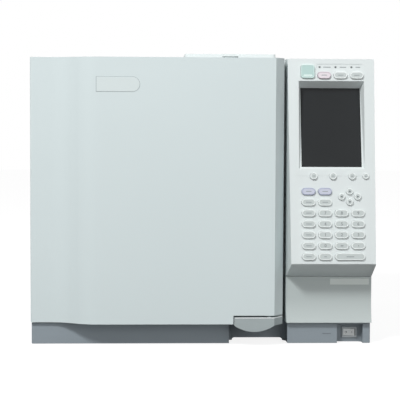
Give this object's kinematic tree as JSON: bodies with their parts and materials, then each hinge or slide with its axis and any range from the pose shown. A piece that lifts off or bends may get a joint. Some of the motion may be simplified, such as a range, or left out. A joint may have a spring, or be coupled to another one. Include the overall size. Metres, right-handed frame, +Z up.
{
  "type": "gas chromatograph",
  "caption": "Bench-top gas chromatograph: a side-hinged oven door, a tilted key and display panel over a concave lower cover, a low plinth and a lid over the ports on top.",
  "frame": {"origin": "on the bench under the centre of the whole outline", "axes": "+Z up, the user stands on the -Y side, +X to the user's right"},
  "size_m": [0.515, 0.532, 0.44],
  "materials": {
    "plinth_plastic": "satin moulded",
    "sheet_steel": "zinc plated",
    "painted_cover": "fine textured paint",
    "zinc_steel": "zinc plated",
    "stainless": "brushed",
    "lagging": "felted",
    "heater_tube": "oxidised",
    "motor_body": "cast",
    "column_glass": "glossy coating",
    "machined_steel": "machined",
    "circuit_board": "lacquered",
    "panel_plastic": "satin moulded",
    "display_glass": "anti-glare",
    "cover_plastic": "satin moulded",
    "door_plastic": "satin moulded",
    "lever_plastic": "satin moulded",
    "rocker_plastic": "satin moulded",
    "key_white": "satin moulded",
    "key_green": "satin moulded",
    "key_pink": "satin moulded",
    "key_blue": "satin moulded"
  },
  "bodies": {
    "cabinet": {"base_skirt": "plinth_plastic", "chassis": "sheet_steel", "cabinet_covers": "painted_cover", "rear_panel": "zinc_steel", "oven_liner": "stainless", "oven_insulation": "lagging", "oven_heater": "heater_tube", "fan_guard": "stainless", "fan_motor": "motor_body", "capillary_column": "column_glass", "injector": "machined_steel", "detector": "machined_steel", "flow_controller": "machined_steel", "electronics": "circuit_board", "panel_housing": "panel_plastic", "display": "display_glass", "key_board": "circuit_board", "lower_front_cover": "cover_plastic"},
    "door": {"door_cover": "door_plastic", "door_liner": "stainless"},
    "lever": {"door_handle": "lever_plastic"},
    "lid": {"port_lid": "panel_plastic"},
    "fan": {"oven_fan": "stainless"},
    "flap": {"exhaust_flap": "zinc_steel"},
    "rocker": {"power_rocker": "rocker_plastic"},
    "key_start_body": {"key_start": "key_green"},
    "key_stop_body": {"key_stop": "key_pink"},
    "key_system_body": {"key_system": "key_white"},
    "key_monitor_body": {"key_monitor": "key_white"},
    "key_function_1_body": {"key_function_1": "key_white"},
    "key_function_2_body": {"key_function_2": "key_white"},
    "key_function_3_body": {"key_function_3": "key_white"},
    "key_help_body": {"key_help": "key_white"},
    "key_heater_body": {"key_heater": "key_blue"},
    "key_column_body": {"key_column": "key_blue"},
    "key_gas_body": {"key_gas": "key_white"},
    "key_program_body": {"key_program": "key_white"},
    "key_up_body": {"key_up": "key_white"},
    "key_down_body": {"key_down": "key_white"},
    "key_left_body": {"key_left": "key_white"},
    "key_right_body": {"key_right": "key_white"},
    "key_flow_body": {"key_flow": "key_white"},
    "key_7_body": {"key_7": "key_white"},
    "key_8_body": {"key_8": "key_white"},
    "key_9_body": {"key_9": "key_white"},
    "key_detector_body": {"key_detector": "key_white"},
    "key_4_body": {"key_4": "key_white"},
    "key_5_body": {"key_5": "key_white"},
    "key_6_body": {"key_6": "key_white"},
    "key_signal_body": {"key_signal": "key_white"},
    "key_1_body": {"key_1": "key_white"},
    "key_2_body": {"key_2": "key_white"},
    "key_3_body": {"key_3": "key_white"},
    "key_option_body": {"key_option": "key_white"},
    "key_0_body": {"key_0": "key_white"},
    "key_minus_body": {"key_minus": "key_white"},
    "key_point_body": {"key_point": "key_white"},
    "key_clear_body": {"key_clear": "key_white"},
    "key_delete_body": {"key_delete": "key_white"},
    "key_enter_body": {"key_enter": "key_white"}
  },
  "joints": [
    {"name": "door_swing", "type": "hinge", "parent": "cabinet", "child": "door", "pos_m": [-0.2495, -0.203, 0.258], "axis": [0, 0, 1], "range_deg": [-100, 0]},
    {"name": "lever_pull", "type": "hinge", "parent": "door", "child": "lever", "pos_m": [0.0775, -0.245, 0.04], "axis": [-1, 0, 0], "range_deg": [0, 18], "stiffness_Nm_per_rad": 0.2, "springref_deg": -5.73},
    {"name": "lid_swing", "type": "hinge", "parent": "cabinet", "child": "lid", "pos_m": [0.0445, -0.005, 0.436], "axis": [-1, 0, 0], "range_deg": [0, 95]},
    {"name": "fan_spin", "type": "hinge", "parent": "cabinet", "child": "fan", "pos_m": [-0.0715, -0.026, 0.215], "axis": [0, 1, 0], "continuous": true},
    {"name": "flap_swing", "type": "hinge", "parent": "cabinet", "child": "flap", "pos_m": [-0.1515, 0.254, 0.328], "axis": [1, 0, 0], "range_deg": [0, 60]},
    {"name": "rocker_tip", "type": "hinge", "parent": "cabinet", "child": "rocker", "pos_m": [0.2265, -0.208, 0.0155], "axis": [0, 0, 1], "range_deg": [0, 16]},
    {"name": "key_start_press", "type": "slide", "parent": "cabinet", "child": "key_start_body", "axis": [0, 0.9915, -0.13], "range_m": [0, 0.0012], "stiffness_N_per_m": 300, "springref_m": -0.003},
    {"name": "key_stop_press", "type": "slide", "parent": "cabinet", "child": "key_stop_body", "axis": [0, 0.9915, -0.13], "range_m": [0, 0.0012], "stiffness_N_per_m": 300, "springref_m": -0.003},
    {"name": "key_system_press", "type": "slide", "parent": "cabinet", "child": "key_system_body", "axis": [0, 0.9915, -0.13], "range_m": [0, 0.0012], "stiffness_N_per_m": 300, "springref_m": -0.003},
    {"name": "key_monitor_press", "type": "slide", "parent": "cabinet", "child": "key_monitor_body", "axis": [0, 0.9915, -0.13], "range_m": [0, 0.0012], "stiffness_N_per_m": 300, "springref_m": -0.003},
    {"name": "key_function_1_press", "type": "slide", "parent": "cabinet", "child": "key_function_1_body", "axis": [0, 0.9915, -0.13], "range_m": [0, 0.0012], "stiffness_N_per_m": 300, "springref_m": -0.003},
    {"name": "key_function_2_press", "type": "slide", "parent": "cabinet", "child": "key_function_2_body", "axis": [0, 0.9915, -0.13], "range_m": [0, 0.0012], "stiffness_N_per_m": 300, "springref_m": -0.003},
    {"name": "key_function_3_press", "type": "slide", "parent": "cabinet", "child": "key_function_3_body", "axis": [0, 0.9915, -0.13], "range_m": [0, 0.0012], "stiffness_N_per_m": 300, "springref_m": -0.003},
    {"name": "key_help_press", "type": "slide", "parent": "cabinet", "child": "key_help_body", "axis": [0, 0.9915, -0.13], "range_m": [0, 0.0012], "stiffness_N_per_m": 300, "springref_m": -0.003},
    {"name": "key_heater_press", "type": "slide", "parent": "cabinet", "child": "key_heater_body", "axis": [0, 0.9915, -0.13], "range_m": [0, 0.0012], "stiffness_N_per_m": 300, "springref_m": -0.003},
    {"name": "key_column_press", "type": "slide", "parent": "cabinet", "child": "key_column_body", "axis": [0, 0.9915, -0.13], "range_m": [0, 0.0012], "stiffness_N_per_m": 300, "springref_m": -0.003},
    {"name": "key_gas_press", "type": "slide", "parent": "cabinet", "child": "key_gas_body", "axis": [0, 0.9915, -0.13], "range_m": [0, 0.0012], "stiffness_N_per_m": 300, "springref_m": -0.003},
    {"name": "key_program_press", "type": "slide", "parent": "cabinet", "child": "key_program_body", "axis": [0, 0.9915, -0.13], "range_m": [0, 0.0012], "stiffness_N_per_m": 300, "springref_m": -0.003},
    {"name": "key_up_press", "type": "slide", "parent": "cabinet", "child": "key_up_body", "axis": [0, 0.9915, -0.13], "range_m": [0, 0.0012], "stiffness_N_per_m": 300, "springref_m": -0.003},
    {"name": "key_down_press", "type": "slide", "parent": "cabinet", "child": "key_down_body", "axis": [0, 0.9915, -0.13], "range_m": [0, 0.0012], "stiffness_N_per_m": 300, "springref_m": -0.003},
    {"name": "key_left_press", "type": "slide", "parent": "cabinet", "child": "key_left_body", "axis": [0, 0.9915, -0.13], "range_m": [0, 0.0012], "stiffness_N_per_m": 300, "springref_m": -0.003},
    {"name": "key_right_press", "type": "slide", "parent": "cabinet", "child": "key_right_body", "axis": [0, 0.9915, -0.13], "range_m": [0, 0.0012], "stiffness_N_per_m": 300, "springref_m": -0.003},
    {"name": "key_flow_press", "type": "slide", "parent": "cabinet", "child": "key_flow_body", "axis": [0, 0.9915, -0.13], "range_m": [0, 0.0012], "stiffness_N_per_m": 300, "springref_m": -0.003},
    {"name": "key_7_press", "type": "slide", "parent": "cabinet", "child": "key_7_body", "axis": [0, 0.9915, -0.13], "range_m": [0, 0.0012], "stiffness_N_per_m": 300, "springref_m": -0.003},
    {"name": "key_8_press", "type": "slide", "parent": "cabinet", "child": "key_8_body", "axis": [0, 0.9915, -0.13], "range_m": [0, 0.0012], "stiffness_N_per_m": 300, "springref_m": -0.003},
    {"name": "key_9_press", "type": "slide", "parent": "cabinet", "child": "key_9_body", "axis": [0, 0.9915, -0.13], "range_m": [0, 0.0012], "stiffness_N_per_m": 300, "springref_m": -0.003},
    {"name": "key_detector_press", "type": "slide", "parent": "cabinet", "child": "key_detector_body", "axis": [0, 0.9915, -0.13], "range_m": [0, 0.0012], "stiffness_N_per_m": 300, "springref_m": -0.003},
    {"name": "key_4_press", "type": "slide", "parent": "cabinet", "child": "key_4_body", "axis": [0, 0.9915, -0.13], "range_m": [0, 0.0012], "stiffness_N_per_m": 300, "springref_m": -0.003},
    {"name": "key_5_press", "type": "slide", "parent": "cabinet", "child": "key_5_body", "axis": [0, 0.9915, -0.13], "range_m": [0, 0.0012], "stiffness_N_per_m": 300, "springref_m": -0.003},
    {"name": "key_6_press", "type": "slide", "parent": "cabinet", "child": "key_6_body", "axis": [0, 0.9915, -0.13], "range_m": [0, 0.0012], "stiffness_N_per_m": 300, "springref_m": -0.003},
    {"name": "key_signal_press", "type": "slide", "parent": "cabinet", "child": "key_signal_body", "axis": [0, 0.9915, -0.13], "range_m": [0, 0.0012], "stiffness_N_per_m": 300, "springref_m": -0.003},
    {"name": "key_1_press", "type": "slide", "parent": "cabinet", "child": "key_1_body", "axis": [0, 0.9915, -0.13], "range_m": [0, 0.0012], "stiffness_N_per_m": 300, "springref_m": -0.003},
    {"name": "key_2_press", "type": "slide", "parent": "cabinet", "child": "key_2_body", "axis": [0, 0.9915, -0.13], "range_m": [0, 0.0012], "stiffness_N_per_m": 300, "springref_m": -0.003},
    {"name": "key_3_press", "type": "slide", "parent": "cabinet", "child": "key_3_body", "axis": [0, 0.9915, -0.13], "range_m": [0, 0.0012], "stiffness_N_per_m": 300, "springref_m": -0.003},
    {"name": "key_option_press", "type": "slide", "parent": "cabinet", "child": "key_option_body", "axis": [0, 0.9915, -0.13], "range_m": [0, 0.0012], "stiffness_N_per_m": 300, "springref_m": -0.003},
    {"name": "key_0_press", "type": "slide", "parent": "cabinet", "child": "key_0_body", "axis": [0, 0.9915, -0.13], "range_m": [0, 0.0012], "stiffness_N_per_m": 300, "springref_m": -0.003},
    {"name": "key_minus_press", "type": "slide", "parent": "cabinet", "child": "key_minus_body", "axis": [0, 0.9915, -0.13], "range_m": [0, 0.0012], "stiffness_N_per_m": 300, "springref_m": -0.003},
    {"name": "key_point_press", "type": "slide", "parent": "cabinet", "child": "key_point_body", "axis": [0, 0.9915, -0.13], "range_m": [0, 0.0012], "stiffness_N_per_m": 300, "springref_m": -0.003},
    {"name": "key_clear_press", "type": "slide", "parent": "cabinet", "child": "key_clear_body", "axis": [0, 0.9915, -0.13], "range_m": [0, 0.0012], "stiffness_N_per_m": 300, "springref_m": -0.003},
    {"name": "key_delete_press", "type": "slide", "parent": "cabinet", "child": "key_delete_body", "axis": [0, 0.9915, -0.13], "range_m": [0, 0.0012], "stiffness_N_per_m": 300, "springref_m": -0.003},
    {"name": "key_enter_press", "type": "slide", "parent": "cabinet", "child": "key_enter_body", "axis": [0, 0.9915, -0.13], "range_m": [0, 0.0012], "stiffness_N_per_m": 300, "springref_m": -0.003}
  ]
}
